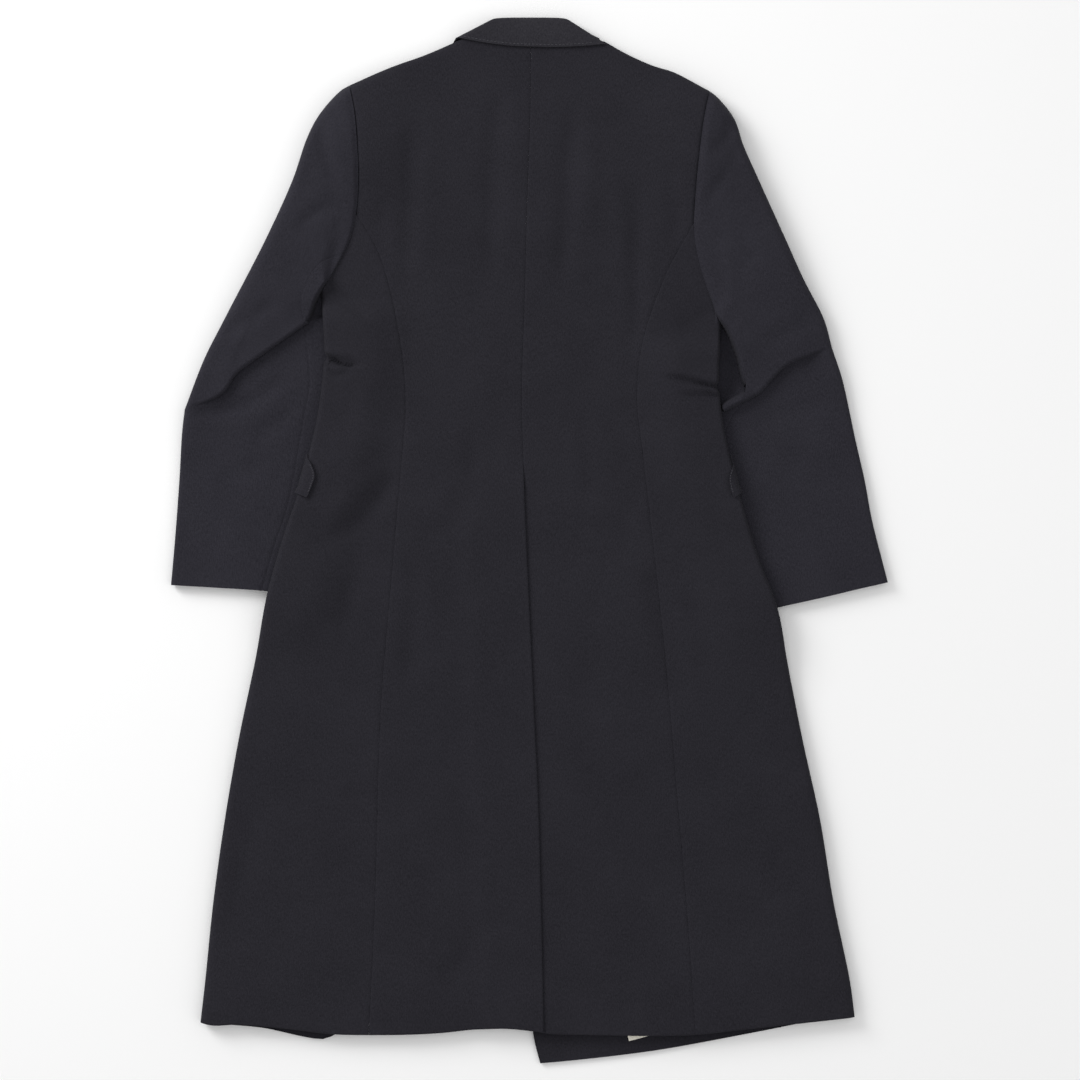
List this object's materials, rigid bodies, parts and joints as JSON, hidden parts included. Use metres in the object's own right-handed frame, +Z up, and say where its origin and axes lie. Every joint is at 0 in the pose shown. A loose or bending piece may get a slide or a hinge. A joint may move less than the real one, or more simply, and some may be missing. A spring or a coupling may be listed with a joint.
{
  "type": "chesterfield coat",
  "caption": "Woman's single-breasted chesterfield coat in dark wool, laid flat on its front with its back, centre vent and small turned collar up.",
  "frame": {"origin": "on the table under the middle of the coat's outline", "axes": "+Y along the coat towards the collar, +X towards the wearer's right, +Z up from the table, out of the coat's back"},
  "size_m": [0.773, 1.127, 0.0291],
  "materials": {
    "cloth": "matte worsted wool, fine twill",
    "horn": "dark horn-effect resin",
    "satin": "woven satin, blank"
  },
  "bodies": {
    "root": {"back_left": "cloth", "side_left": "cloth", "front_left": "cloth", "top_sleeve_left": "cloth", "under_sleeve_left": "cloth", "flap_left": "cloth", "lapel_left": "cloth", "back_right": "cloth", "side_right": "cloth", "front_right": "cloth", "top_sleeve_right": "cloth", "under_sleeve_right": "cloth", "flap_right": "cloth", "lapel_right": "cloth", "collar_fall": "cloth", "collar_stand": "cloth", "care_label": "satin", "button_1": "horn", "button_2": "horn", "button_3": "horn"}
  },
  "joints": []
}
